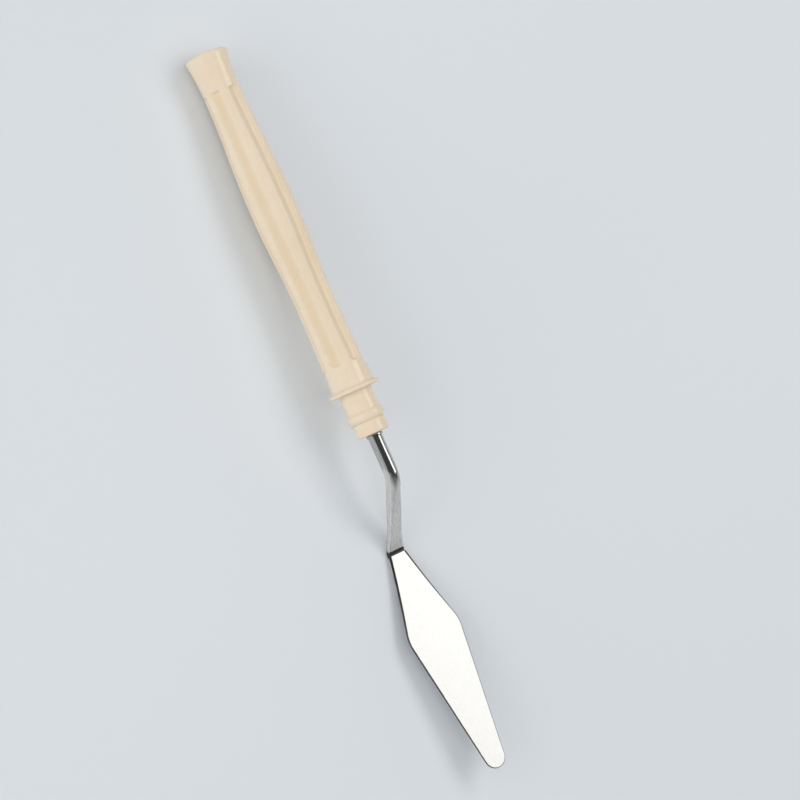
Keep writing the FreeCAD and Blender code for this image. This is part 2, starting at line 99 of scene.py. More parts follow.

# blade
BLADE_TILT = radians(3.0)
BLADE_LENGTH, BLADE_WIDTH, WIDEST_AT = 64.0, 17.8 - 2 * HAIR, 23.5
FLANK_RADIUS, CORNER_RADIUS, TIP_RADIUS = 260.0, 10.0, 3.3
BLADE_THICKNESS, TIP_THICKNESS, BLADE_EDGE = 0.6, 0.4, 0.12
THICK_PAST_TONGUE = 1.0            # the plate keeps its full thickness this far past the tongue
BEVEL_WIDTHS = [0.55, 0.26, 0.2]   # at the heel, the widest place and the tip
BRAZE_HALF_WIDTH = HEEL_WIDTH / 2 - 0.2

# lengths that follow from them
TURN = CRANK_ANGLE + BLADE_TILT
HEEL_HALF = (BLADE_THICKNESS + TONGUE_ROOT) / 2
HEEL_CROWN = 3 * HEEL_HALF   # half height of the oval that the heel is flattened from
HEEL_LAP = HEEL_HALF * tan(TURN / 2)
HEEL_REACH = HEEL_RADIUS * tan(TURN / 2)
CRANK_END_X = HEEL_LAP - HEEL_REACH
STEP_LENGTH = BLADE_THICKNESS / tan(TURN)
BLADE_HEEL_X = HEEL_LAP + STEP_LENGTH
CRANK_LENGTH = CRANK_DROP / sin(CRANK_ANGLE)
BEND_REACH = BEND_RADIUS * tan(CRANK_ANGLE / 2)
CRANK_RUN = CRANK_LENGTH - BEND_REACH
ROOT_X = ROD_RUN + CRANK_LENGTH * cos(CRANK_ANGLE)

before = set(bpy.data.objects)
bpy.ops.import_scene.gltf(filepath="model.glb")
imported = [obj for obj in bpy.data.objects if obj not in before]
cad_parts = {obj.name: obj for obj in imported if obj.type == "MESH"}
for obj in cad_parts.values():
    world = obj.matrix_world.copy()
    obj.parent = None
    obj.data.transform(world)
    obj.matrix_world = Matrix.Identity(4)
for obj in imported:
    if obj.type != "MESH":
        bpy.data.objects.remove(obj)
cad_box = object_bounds()


# ---------------------------------------------------------------- frames

def turned(angle):
    """A turn about Y that lowers +X by this angle."""
    return Matrix.Rotation(angle, 4, "Y")


def rest_frames():
    """The handle's, crank's and blade's frames in the shared frame: the knife on its butt rim and heel."""
    crank = Matrix.Translation((ROOT_X, 0, -CRANK_DROP)) @ turned(CRANK_ANGLE)
    blade = Matrix.Translation((ROOT_X, 0, -CRANK_DROP)) @ turned(-BLADE_TILT)
    butt = Vector((BUTT_DOME + BUTT_EDGE - HANDLE_LENGTH, 0, BUTT_EDGE - BUTT_RADIUS))
    heel = crank @ Vector((CRANK_END_X, 0, HEEL_RADIUS - HEEL_HALF))
    between = heel - butt
    slope = atan2(between.z, between.x)
    rise = asin((HEEL_RADIUS - BUTT_EDGE) / between.length)
    level = turned(slope - rise)
    low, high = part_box("handle")
    nose_reach = (level @ Vector((-RING_EDGE, 0, RING_EDGE - RING_RADIUS))).x + RING_EDGE
    lift = low.z / MM + BUTT_EDGE - (level @ butt).z
    place = Matrix.Translation((high.x / MM - nose_reach + HAIR / 2, 0, lift))
    rest = Matrix.Scale(MM, 4) @ place @ level
    return rest, rest @ crank, rest @ blade


HANDLE_FRAME, CRANK_FRAME, BLADE_FRAME = rest_frames()


# ---------------------------------------------------------------- mesh helpers

def arc(start, end, radius, side, step=0.1, fewest=6):
    """Points on the short arc from start to end, its centre to the given side of the way there."""
    start, end = np.array(start, float), np.array(end, float)
    chord = end - start
    half = np.hypot(*chord) / 2
    left = np.array([-chord[1], chord[0]]) / (2 * half)
    reach = sqrt(max(radius ** 2 - half ** 2, 0)) * (1 if side == "left" else -1)
    centre = (start + end) / 2 + left * reach
    first = atan2(*(start - centre)[::-1])
    sweep = 2 * asin(min(half / radius, 1)) * (1 if side == "left" else -1)
    count = max(int(abs(sweep) * radius / step), fewest)
    angles = first + sweep * np.linspace(0, 1, count + 1)
    return centre + radius * np.stack([np.cos(angles), np.sin(angles)], 1)


def level_arc(start, end, side, upright=False):
    """An arc that runs level at one of its ends, or upright at its start."""
    run, rise = abs(end[0] - start[0]), abs(end[1] - start[1])
    if upright:
        run, rise = rise, run
    return arc(start, end, (run ** 2 + rise ** 2) / (2 * rise), side)


def evenly(points, step):
    """The same line with points this far apart."""
    gaps = np.hypot(*np.diff(points, axis=0).T)
    at = np.concatenate([[0], np.cumsum(gaps)])
    wanted = np.linspace(0, at[-1], int(at[-1] / step) + 1)
    return np.stack([np.interp(wanted, at, points[:, i]) for i in range(points.shape[1])], 1)


def softened(points, step, reach):
    """The line with its corners rounded over this reach; its two ends stay."""
    bell_widths = 3
    count = int(bell_widths * reach / step)
    kernel = np.exp(-0.5 * (np.arange(-count, count + 1) * step / reach) ** 2)
    kernel /= kernel.sum()
    ahead = 2 * points[0] - points[count:0:-1]
    behind = 2 * points[-1] - points[-2:-count - 2:-1]
    padded = np.concatenate([ahead, points, behind])
    return np.stack([np.convolve(padded[:, i], kernel, "valid") for i in range(points.shape[1])], 1)


def thinned(points, step, widest, turn_share):
    """Fewer points: close together where the line turns, up to `widest` apart where it is straight."""
    along = np.diff(points, axis=0)
    heading = np.unwrap(np.arctan2(along[:, 1], along[:, 0]))
    turning = np.abs(np.gradient(heading))
    effort = np.concatenate([[0], np.cumsum(step / widest + turning / turn_share)])
    wanted = np.linspace(0, effort[-1], int(effort[-1]) + 2)
    return np.stack([np.interp(wanted, effort, points[:, i]) for i in range(points.shape[1])], 1)


def smooth_least(a, b, reach):
    """The smaller of a and b, with the crossing rounded over this reach."""
    mix = np.clip(0.5 + 0.5 * (b - a) / reach, 0, 1)
    return b + (a - b) * mix - reach * mix * (1 - mix)


def loft(name, rings, place, sharp, marks=None, capped=True):
    """A closed skin through rings of points, with marks on its vertices.

    rings has the axes ring, point and xyz; edges that turn by more than `sharp` degrees stay crisp.
    """
    count, around = rings.shape[:2]
    faces = []
    for i in range(count - 1):
        for j in range(around):
            k = (j + 1) % around
            faces.append((i * around + j, i * around + k, (i + 1) * around + k, (i + 1) * around + j))
    if capped:
        faces.append(tuple(range(around))[::-1])
        faces.append(tuple((count - 1) * around + j for j in range(around)))
    mesh = bpy.data.meshes.new(name)
    mesh.from_pydata([tuple(v) for v in rings.reshape(-1, 3)], [], faces)
    for mark, values in (marks or {}).items():
        kind = "FLOAT_VECTOR" if np.ndim(values) == 3 else "FLOAT"
        layer = mesh.attributes.new(mark, kind, "POINT")
        field = "vector" if kind == "FLOAT_VECTOR" else "value"
        layer.data.foreach_set(field, np.asarray(values, np.float32).ravel())
    obj = bpy.data.objects.new(name, mesh)
    bpy.context.scene.collection.objects.link(obj)
    finish_mesh(obj, place, sharp)
    return obj


def finish_mesh(obj, place, sharp):
    """Weld the poles, turn the faces outwards, lay the mesh in the shared frame and shade it."""
    bm = bmesh.new()
    bm.from_mesh(obj.data)
    bmesh.ops.remove_doubles(bm, verts=bm.verts, dist=WELD)
    bmesh.ops.dissolve_degenerate(bm, edges=bm.edges, dist=SLIVER)
    bmesh.ops.recalc_face_normals(bm, faces=bm.faces)
    bm.to_mesh(obj.data)
    bm.free()
    obj.data.transform(place)
    obj.data.shade_smooth()
    obj.data.set_sharp_from_angle(angle=radians(sharp))


# ---------------------------------------------------------------- handle

def handle_profile():
    """The handle's half outline from the middle of the butt to the nose and down its bore."""
    line_step, edge_reach = 0.05, 0.09
    dome_width = BUTT_RADIUS - BUTT_EDGE
    dome_x = BUTT_DOME - HANDLE_LENGTH
    rim_x = dome_x + BUTT_EDGE
    rim = FLANGE_RIM / 2
    up_x, up_r = (WAIST_X + SWELL_X) / 2, (WAIST_RADIUS + SWELL_RADIUS) / 2
    down_x, down_r = (SWELL_X + NARROW_X) / 2, (SWELL_RADIUS + NARROW_RADIUS) / 2
    bead_x = (BEAD_X + BEAD_END_X) / 2
    runs = [
        level_arc((-HANDLE_LENGTH, 0), (dome_x, dome_width), "right", upright=True),
        arc((dome_x, dome_width), (rim_x, BUTT_RADIUS), BUTT_EDGE, "right"),
        level_arc((rim_x, BUTT_RADIUS), (WAIST_X, WAIST_RADIUS), "left"),
        level_arc((WAIST_X, WAIST_RADIUS), (up_x, up_r), "left"),
        level_arc((up_x, up_r), (SWELL_X, SWELL_RADIUS), "right"),
        level_arc((SWELL_X, SWELL_RADIUS), (down_x, down_r), "right"),
        level_arc((down_x, down_r), (NARROW_X, NARROW_RADIUS), "left"),
        level_arc((NARROW_X, NARROW_RADIUS), (FLANGE_X, FLARE_RADIUS), "left"),
        arc((FLANGE_FOOT_X - FLANGE_RIM, FLANGE_RADIUS - rim), (FLANGE_FOOT_X - rim, FLANGE_RADIUS),
            rim, "right"),
        arc((FLANGE_FOOT_X - rim, FLANGE_RADIUS), (FLANGE_FOOT_X, FLANGE_RADIUS - rim), rim, "right"),
        [(FLANGE_FOOT_X, NECK_RADIUS)],
        level_arc((BEAD_X, NECK_RADIUS), (bead_x, BEAD_RADIUS), "right"),
        level_arc((bead_x, BEAD_RADIUS), (BEAD_END_X, NECK_RADIUS), "right"),
        [(BEAD_END_X, GROOVE_RADIUS), (GROOVE_X, GROOVE_RADIUS), (GROOVE_X, RING_RADIUS)],
        arc((-RING_EDGE, RING_RADIUS), (0, RING_RADIUS - RING_EDGE), RING_EDGE, "right"),
        [(0, BORE_RADIUS), (-BORE_DEPTH, BORE_RADIUS), (-BORE_DEPTH, 0)],
    ]
    line = softened(evenly(np.concatenate([np.array(r, float) for r in runs]), line_step),
                    line_step, edge_reach)
    return thinned(line, line_step, widest=0.8, turn_share=radians(5))


def with_flute_rings(profile):
    """The profile with points added where the flutes begin and end."""
    margin, past_end = 1.0, 0.3
    outside = profile[:int(np.argmax(profile[:, 0])) + 1]
    grip = (outside[:, 0] > WAIST_X - margin) & (outside[:, 0] < FLANGE_X - margin)
    upper_end = WAIST_X + np.linspace(-0.35, 0.65, 17)
    lower_end = FLUTE_END_X + np.linspace(-past_end, FLUTE_RAMP + past_end, 14)
    added = np.concatenate([upper_end, lower_end])
    order = np.argsort(outside[:, 0])
    added_points = np.stack([added, np.interp(added, outside[order, 0], outside[order, 1])], 1)
    grip_points = np.concatenate([outside[grip], added_points])
    grip_points = grip_points[np.argsort(grip_points[:, 0])]
    first = int(np.argmax(grip))
    last = first + int(grip.sum())
    return np.concatenate([profile[:first], grip_points, profile[last:]])


def sector_angles(radius):
    """For every ring, the angles of one sector's mesh lines, from the middle of a flute both ways."""
    pole = 1e-6
    shrink = np.minimum(1, radius / NECK_RADIUS)
    side = FLUTE_LINES[None, :] * shrink[:, None]
    angles = side / np.maximum(radius, pole)[:, None]
    angles[radius < pole] = FLUTE_LINES / NECK_RADIUS
    lip = angles[:, -1:]
    land = lip + (SECTOR / 2 - lip) * np.arange(1, LAND_LINES + 1)[None, :] / LAND_LINES
    half = np.concatenate([angles, land], 1)
    return np.concatenate([-half[:, :0:-1], half], 1)[:, 1:]


def build_handle():
    """The moulding: rings round the profile, pressed in along the flutes, one sector for each flute."""
    profile = with_flute_rings(handle_profile())
    x, radius = profile[:, 0], np.maximum(profile[:, 1], 0)
    angles = sector_angles(radius)
    across = radius[:, None] * np.sin(angles)
    surface = radius[:, None] * np.cos(angles)

    outside = np.arange(len(x)) < np.argmax(x)
    in_flute = (np.clip((x - WAIST_X) / FLUTE_HEAD + FLUTE_HEAD_LEAD, 0, 1)
                * np.clip(1 - (x - FLUTE_END_X) / FLUTE_RAMP, 0, 1) * outside)[:, None]
    side = np.minimum(np.abs(across), FLUTE_REACH)
    channel = (radius[:, None] - FLUTE_DEPTH * in_flute + FLUTE_HOLLOW
               - np.sqrt(FLUTE_HOLLOW ** 2 - side ** 2))
    cut = np.minimum(smooth_least(surface, channel, FLUTE_LIP), surface)
    height = np.where(in_flute > 0, cut, surface)
    # how deep each point lies in a flute; the plastic paints this as warm painted shade
    depth = (surface - height) / FLUTE_DEPTH

    sectors, hollows = [], []
    for k in range(FLUTE_COUNT):
        turn = k * SECTOR + FLUTE_TURN
        y = across * cos(turn) - height * sin(turn)
        z = across * sin(turn) + height * cos(turn)
        sector = np.stack([np.broadcast_to(x[:, None], y.shape), y, z], 2)
        sectors.append(sector[:, ::-1])
        hollows.append(depth[:, ::-1])
    rings, hollow = np.concatenate(sectors, 1), np.concatenate(hollows, 1)
    middle = rings[len(x) // 2]
    order = np.argsort(-np.arctan2(middle[:, 1], middle[:, 2]))
    return loft("knife_handle", rings[:, order], HANDLE_FRAME, 50, {"hollow": hollow[:, order]}, capped=False)


# ---------------------------------------------------------------- shank

def bar_section(flatness, points=56):
    """A round section, or one flattened above and below: across from -1 to 1 and up from -1 to 1."""
    angle = 2 * pi * np.arange(points) / points
    across, up = np.cos(angle), np.sin(angle)
    if flatness < 1:
        rounding = FLAT_ROUNDING * (1 - flatness)
        up = np.sign(up) * smooth_least(np.abs(up) / flatness, np.ones(points), rounding)
    return across, up


# Each station of the shank is (top point, bottom point, half width, flatness, painted heel shade).  The
# points are in the handle frame.

def round_stations():
    """The tang, the collar, the round run and the first bend."""
    bend_start = ROD_RUN - BEND_REACH
    lip = COLLAR_RADIUS - ROD_RADIUS
    tang_from, tang_to, run_from = TANG_CHAMFER + 0.5 - TANG_LENGTH, -0.3, COLLAR_LENGTH + 0.15
    radii = [(-TANG_LENGTH, ROD_RADIUS - TANG_CHAMFER), (TANG_CHAMFER - TANG_LENGTH, ROD_RADIUS)]
    radii += [(x, ROD_RADIUS) for x in np.linspace(tang_from, tang_to, 12)]
    radii += [(COLLAR_LENGTH * step, ROD_RADIUS + lip * sqrt(max(1 - (2 * step - 1) ** 4, 0)))
              for step in np.linspace(0, 1, 9)]
    radii += [(x, ROD_RADIUS) for x in np.linspace(run_from, bend_start, 14)]
    stations = [(Vector((x, 0, radius)), Vector((x, 0, -radius)), radius, 1, 0) for x, radius in radii]
    for angle in np.linspace(0, CRANK_ANGLE, 22)[1:]:
        centre = Vector((bend_start + BEND_RADIUS * sin(angle), 0, BEND_RADIUS * (cos(angle) - 1)))
        out = Vector((sin(angle), 0, cos(angle))) * ROD_RADIUS
        stations.append((centre + out, centre - out, ROD_RADIUS, 1, 0))
    return stations


def crank_stations(to_handle):
    """The crank, flattened all the way down and spread just above the heel."""
    stations = []
    for x in np.linspace(-CRANK_RUN, CRANK_END_X, 44)[1:]:
        share = max(0, (x + FLARE_ABOVE_HEEL) / (FLARE_ABOVE_HEEL + HEEL_LAP + OVERCUT))
        half_width = ROD_RADIUS + (HEEL_WIDTH / 2 - ROD_RADIUS) * share
        crown = ROD_RADIUS + (HEEL_CROWN - ROD_RADIUS) * share
        taper = min(1, (x + CRANK_RUN) / (CRANK_RUN - FLAT_RUN))
        flat = ROD_RADIUS + (HEEL_HALF - ROD_RADIUS) * taper
        # share of the near-black painted reflection and shade, fading in just above the heel bend
        heel_shade = min(max((x - CRANK_END_X + HEEL_SHADE_RUN) / HEEL_SHADE_FADE, 0), 1)
        stations.append((to_handle @ Vector((x, 0, flat)), to_handle @ Vector((x, 0, -flat)),
                         half_width, min(1, flat / crown), heel_shade))
    return stations


def heel_stations(to_handle, half_width, flatness):
    """Round the heel bend, from the crank's end with its half width and flatness to the blade's seat."""
    seat_x = BLADE_THICKNESS / sin(TURN) - HEEL_LAP
    stations = []
    for share in np.linspace(0, 1, 14)[1:]:
        angle = TURN * share
        rise = HEEL_RADIUS * (1 - cos(angle))
        top = Vector((CRANK_END_X + (seat_x - CRANK_END_X) * share, 0, HEEL_HALF))
        bottom = Vector((CRANK_END_X + HEEL_RADIUS * sin(angle), 0, rise - HEEL_HALF))
        # the last value paints the whole heel bend with the near-black painted reflection and shade
        stations.append((to_handle @ top, to_handle @ bottom,
                         half_width + (HEEL_WIDTH / 2 - TONGUE_INSET - half_width) * share,
                         flatness + (TONGUE_FLATNESS - flatness) * share, 1))
    return stations


def tongue_stations(to_handle):
    """The thin tongue under the blade."""
    seat_z = HEEL_HALF - BLADE_THICKNESS
    under_root_x = -CRANK_END_X
    stations = []
    for share in np.linspace(0, 1, 16)[1:]:
        x = BLADE_HEEL_X + (TONGUE_LENGTH - BLADE_HEEL_X) * share
        under_x = under_root_x + (TONGUE_LENGTH - under_root_x) * share
        thickness = TONGUE_ROOT + (TONGUE_END - TONGUE_ROOT) * under_x / TONGUE_LENGTH
        top, bottom = Vector((x, 0, seat_z)), Vector((under_x, 0, seat_z - thickness))
        stations.append((to_handle @ top, to_handle @ bottom,
                         flank_half_width(x) - TONGUE_INSET, TONGUE_FLATNESS, 0))
    return stations


def build_shank():
    """The rod from the hidden end of the tang to the end of the tongue, marked for its finish."""
    crank_to_handle = HANDLE_FRAME.inverted() @ CRANK_FRAME
    blade_to_handle = HANDLE_FRAME.inverted() @ BLADE_FRAME
    stations = round_stations() + crank_stations(crank_to_handle)
    _, _, end_half_width, end_flatness, _ = stations[-1]
    stations += heel_stations(crank_to_handle, end_half_width, end_flatness)
    stations += tongue_stations(blade_to_handle)

    rings, heel_shades, lays = [], [], []
    run = 0.0
    before = None
    for top, bottom, half_width, flatness, heel_shade in stations:
        across, up = bar_section(flatness)
        middle, arm = (top + bottom) / 2, (top - bottom) / 2
        run += (middle - before).length if before else 0
        before = middle
        rings.append(np.array([[middle.x + arm.x * u, half_width * a, middle.z + arm.z * u]
                               for a, u in zip(across, up)]))
        heel_shades.append(np.full(len(across), heel_shade))
        lays.append(np.stack([np.full(len(across), run), across * half_width, up * arm.length], 1))
    marks = {"heel_shade": np.array(heel_shades), "lay": np.array(lays)}
    return loft("knife_shank", np.array(rings), HANDLE_FRAME, 40, marks)


def build_ears():
    """The two pinched ears of the tang, hidden in the handle."""
    angles, edge = (0.5 + np.arange(4)) * pi / 2, 0.15
    rings = []
    for x, inset in ((-EAR_LENGTH / 2, edge), (edge - EAR_LENGTH / 2, 0),
                     (EAR_LENGTH / 2 - edge, 0), (EAR_LENGTH / 2, edge)):
        side, up = EAR_WIDTH / 2 - inset, EAR_THICKNESS / 2 - inset
        rings.append([(EAR_X + x, side * np.sign(cos(a)), up * np.sign(sin(a))) for a in angles])
    return loft("knife_tang_ears", np.array(rings), HANDLE_FRAME, 30)


# ---------------------------------------------------------------- blade and braze

def flank_half_width(x):
    """Half the blade's width between the heel and the wide corner, on the hollow flank."""
    run, whole = x - BLADE_HEEL_X, WIDEST_AT - BLADE_HEEL_X
    straight = HEEL_WIDTH / 2 + (BLADE_WIDTH - HEEL_WIDTH) / 2 * run / whole
    return straight - run * (whole - run) / (2 * FLANK_RADIUS)


def blade_outline():
    """One side of the blade's outline from the heel to the middle of the tip, corner rounded."""
    tip_centre = BLADE_LENGTH - TIP_RADIUS
    taper_run = tip_centre - WIDEST_AT
    lean = (atan2(BLADE_WIDTH / 2, taper_run)
            - asin(TIP_RADIUS / sqrt(taper_run ** 2 + (BLADE_WIDTH / 2) ** 2)))
    flank = [(x, flank_half_width(x)) for x in np.linspace(BLADE_HEEL_X, WIDEST_AT, 80)]
    (x_before, y_before), (x_last, y_last) = flank[-2:]
    rise = atan2((y_last - y_before) / (x_last - x_before), 1)
    reach = CORNER_RADIUS * tan((rise + lean) / 2)
    corner_x = WIDEST_AT - reach * cos(rise)
    corner_end = np.array([WIDEST_AT + reach * cos(lean), BLADE_WIDTH / 2 - reach * sin(lean)])
    flank = [point for point in flank if point[0] < corner_x]
    corner = arc((corner_x, flank_half_width(corner_x)), corner_end, CORNER_RADIUS, "right", step=0.25)
    taper_end = np.array([tip_centre + TIP_RADIUS * sin(lean), TIP_RADIUS * cos(lean)])
    taper = [corner_end + (taper_end - corner_end) * share for share in np.linspace(0, 1, 50)[1:-1]]
    tip = [(tip_centre + TIP_RADIUS * sin(a), TIP_RADIUS * cos(a)) for a in np.linspace(lean, pi / 2, 28)]
    return np.concatenate([flank, corner, taper, tip])


def build_blade():
    """The plate: rings round it from heel to tip, with a fine rounded edge above and below."""
    rim = blade_outline()
    along = np.gradient(rim, axis=0)
    along /= np.hypot(*along.T)[:, None]
    inward = np.stack([along[:, 1], -along[:, 0]], 1)
    inward[0] = (0, -1)
    past_tongue, thinning_run = rim[:, 0] - TONGUE_LENGTH - THICK_PAST_TONGUE, BLADE_LENGTH - TONGUE_LENGTH
    thinning = np.clip(past_tongue / thinning_run, 0, 1)
    thickness = BLADE_THICKNESS - (BLADE_THICKNESS - TIP_THICKNESS) * thinning
    top, bottom = HEEL_HALF, HEEL_HALF - thickness
    bevel = np.interp(rim[:, 0], [BLADE_HEEL_X, WIDEST_AT, BLADE_LENGTH], BEVEL_WIDTHS)
    # upper edge: how far in, as a share of the bevel; drop below the face; 1 where the edge carries painted
    # dark reflection and shade
    edge = [(1.1, 0.0, 0), (1.0, 0.0, 0), (0.94, 0.005, 1), (0.6, 0.03, 1), (0.25, 0.07, 1),
            (0.0, BLADE_EDGE, 1)]
    # lower edge: how far in, and height above the underside; all of it carries painted dark reflection and
    # shade
    under_edge = [(0.0, 0.06), (0.15, 0.02), (0.4, 0.0), (1.0, 0.0)]
    # the faces' mesh lines, from the middle outwards
    spread = [0, 0.2, 0.4, 0.6, 0.8, 0.94]

    def rim_line(inset):
        place = rim + inward * (inset * bevel)[:, None]
        return place[:, 0], np.maximum(place[:, 1], 0)

    face_x, face_y = rim_line(edge[0][0])
    level_top = np.full(len(rim), top)
    right = [(face_x, face_y * share, level_top, 0) for share in spread]
    right += [(*rim_line(inset), level_top - drop, dark) for inset, drop, dark in edge]
    right += [(*rim_line(inset), bottom + lift, 1) for inset, lift in under_edge]
    face_x, face_y = rim_line(under_edge[-1][0])
    right += [(face_x, face_y * share, bottom, 0) for share in spread[::-1]]
    left = [(x, -y, z, dark) for x, y, z, dark in right[-2:0:-1]]
    rings = np.stack([np.stack([x, y, z], 1) for x, y, z, _ in right + left], 1)
    # 1 on the edge rings, which the steel paints dark as painted reflection and shade
    cut = np.stack([np.full(len(rim), float(dark)) for *_, dark in right + left], 1)
    return loft("knife_blade", rings, BLADE_FRAME, 25, {"edge_shade": cut, "lay": rings})


def build_braze():
    """The hollow fillet of brazing metal across the heel, its ends drawn in a little."""
    low = np.array([BLADE_HEEL_X, HEEL_HALF - BLADE_THICKNESS])
    upper = np.array([HEEL_LAP - STEP_LENGTH * cos(TURN), HEEL_HALF + STEP_LENGTH * sin(TURN)])
    lip = np.array([BLADE_HEEL_X, HEEL_HALF])
    hollow = arc(upper, lip, STEP_LENGTH / tan(TURN / 2), "left", step=0.08)
    section = np.concatenate([[low], hollow])
    end_run, end_size, ripple = 0.06, 0.45, 0.05   # shares of the half width and of the section
    rings = []
    for share in np.linspace(-1, 1, 41):
        fullness = np.clip((1 - abs(share)) / end_run, 0, 1) ** 0.5
        wave = 1 - ripple * (1 + sin(9 * share + 1.3 * sin(4 * share)))
        shrunk = low + (section - low) * (end_size + (1 - end_size) * fullness) * wave
        y = np.full(len(section), share * BRAZE_HALF_WIDTH)
        rings.append(np.stack([shrunk[:, 0], y, shrunk[:, 1]], 1))
    return loft("knife_braze", np.array(rings), BLADE_FRAME, 60)


# ---------------------------------------------------------------- materials

class Nodes:
    """Short ways to add and join shader nodes."""

    def __init__(self, name):
        self.material = bpy.data.materials.new(name)
        self.material.use_nodes = True
        self.tree = self.material.node_tree
        self.shader = next(n for n in self.tree.nodes if n.type == "BSDF_PRINCIPLED")

    def add(self, kind, inputs=None, **settings):
        node = self.tree.nodes.new("ShaderNode" + kind)
        for key, value in settings.items():
            setattr(node, key, value)
        for key, value in (inputs or {}).items():
            self.feed(node.inputs[key], value)
        return node

    def feed(self, socket, value):
        if isinstance(value, bpy.types.NodeSocket):
            self.tree.links.new(value, socket)
        else:
            socket.default_value = value

    def mark(self, name, output="Fac"):
        """A mark that the mesh carries on its vertices."""
        return self.add("Attribute", attribute_name=name).outputs[output]

    def place(self):
        return self.add("TexCoord").outputs["Object"]

    def stretched(self, source, scale):
        return self.add("Mapping", {"Vector": source, "Scale": scale}).outputs["Vector"]

    def noise(self, source, scale, detail, roughness=0.55):
        return self.add("TexNoise", {"Vector": source, "Scale": scale, "Detail": detail,
                                     "Roughness": roughness}).outputs["Fac"]

    def ramp(self, source, low, high, from_value=0.0, to_value=1.0):
        """A number that goes from one value to the other as the source goes from low to high."""
        return self.add("MapRange", {"Value": source, "From Min": low, "From Max": high,
                                     "To Min": from_value, "To Max": to_value}).outputs["Result"]

    def maths(self, operation, a, b):
        return self.add("Math", {0: a, 1: b}, operation=operation).outputs["Value"]

    def blend(self, share, a, b):
        """A number from a to b."""
        return self.add("Mix", {0: share, 2: a, 3: b}).outputs[0]

    def mix(self, share, a, b):
        """A colour from a to b."""
        return self.add("Mix", {0: share, 6: a, 7: b}, data_type="RGBA").outputs[2]

    def bump(self, height, distance, strength, normal=None):
        node = self.add("Bump", {"Height": height, "Distance": distance, "Strength": strength})
        if normal is not None:
            self.feed(node.inputs["Normal"], normal)
        return node.outputs["Normal"]

    def finish(self, **inputs):
        for key, value in inputs.items():
            self.feed(self.shader.inputs[key.replace("_", " ")], value)
        return self.material


def handle_plastic():
    """Glossy ivory moulding: faint mottling, an uneven skin, painted warm shade in the flutes, handling
    marks.
    """
    n = Nodes("handle_plastic")
    pale, warm, chalky = (0.87, 0.735, 0.565, 1), (0.85, 0.70, 0.52, 1), (0.88, 0.77, 0.61, 1)
    # a warm tone painted into the flutes as painted shade, and dark flecks
    flute_shade, fleck = (0.82, 0.64, 0.41, 1), (0.45, 0.33, 0.2, 1)
    place = n.place()
    cloud = n.noise(place, 60, 2)
    blotch = n.noise(place, 420, 3)
    speck = n.noise(place, 2600, 0)
    ivory = n.mix(n.ramp(cloud, 0.35, 0.65), pale, warm)
    mottled = n.mix(n.ramp(blotch, 0.45, 0.75, 0, 0.35), ivory, chalky)
    # painted shade: the deeper in a flute, the warmer and darker
    shaded = n.mix(n.ramp(n.mark("hollow"), 0.3, 1, 0, 0.6), mottled, flute_shade)
    colour = n.mix(n.ramp(speck, 0.78, 0.82, 0, 0.25), shaded, fleck)
    skin = n.noise(place, 700, 2, 0.5)
    swirl = n.noise(place, 190, 2, 0.5)
    scratch = n.noise(n.stretched(place, (90, 900, 900)), 6, 2, 0.6)
    scratched = n.maths("MULTIPLY", n.ramp(scratch, 0.66, 0.72), 0.12)
    rough = n.maths("ADD", n.ramp(skin, 0.3, 0.7, 0.08, 0.13), scratched)
    wavy = n.bump(swirl, 0.00035, 0.6)
    return n.finish(Base_Color=colour, Roughness=rough, Normal=n.bump(skin, 0.00005, 0.6, wavy),
                    IOR=1.46, Subsurface_Weight=0.12, Subsurface_Radius=(1.0, 0.62, 0.32),
                    Subsurface_Scale=0.0012)


def shank_steel():
    """Polished round at the handle, then ground along its length to a satin grey; the heel bend painted
    near-black as painted dark reflection and shade.
    """
    n = Nodes("shank_steel")
    polish_dark, polish_light = (0.42, 0.41, 0.395, 1), (0.66, 0.645, 0.62, 1)
    satin_dark, satin_light, pitted = (0.62, 0.60, 0.57, 1), (1.0, 0.97, 0.92, 1), (0.52, 0.50, 0.475, 1)
    # near-black painted dark reflection and shade for the heel bend
    heel_shade_colour = (0.075, 0.07, 0.064, 1)
    lay = n.mark("lay", "Vector")
    split = n.add("SeparateXYZ", {0: lay})
    patch = n.noise(lay, 0.9, 2)
    slanted = n.maths("ADD", split.outputs["X"], n.maths("MULTIPLY", split.outputs["Y"], -GROUND_SLANT))
    edge = n.maths("ADD", slanted, n.ramp(patch, 0.3, 0.7, -0.4, 0.4))
    is_ground = n.ramp(edge, GROUND_FROM - GROUND_FADE, GROUND_FROM + GROUND_FADE)
    lines = n.noise(n.stretched(lay, (0.12, 1.6, 1.6)), 2.2, 4, 0.7)
    grit = n.noise(lay, 2.6, 4, 0.7)
    polish = n.noise(n.stretched(lay, (0.06, 1.8, 1.8)), 1.8, 3)
    polished = n.mix(n.ramp(polish, 0.3, 0.7), polish_dark, polish_light)
    satin = n.mix(n.ramp(lines, 0.3, 0.7), satin_dark, satin_light)
    speckled = n.mix(n.ramp(grit, 0.50, 0.66, 0, 0.6), satin, pitted)
    bare = n.mix(is_ground, polished, speckled)
    # the heel bend gets the painted dark reflection and shade
    colour = n.mix(n.mark("heel_shade"), bare, heel_shade_colour)
    rough = n.blend(is_ground, n.ramp(polish, 0.3, 0.7, 0.11, 0.17), n.ramp(lines, 0.3, 0.7, 0.28, 0.44))
    relief = n.maths("MULTIPLY", n.maths("ADD", lines, n.maths("MULTIPLY", grit, 0.5)), is_ground)
    return n.finish(Base_Color=colour, Roughness=rough, Metallic=1.0, Normal=n.bump(relief, 0.00009, 0.7))


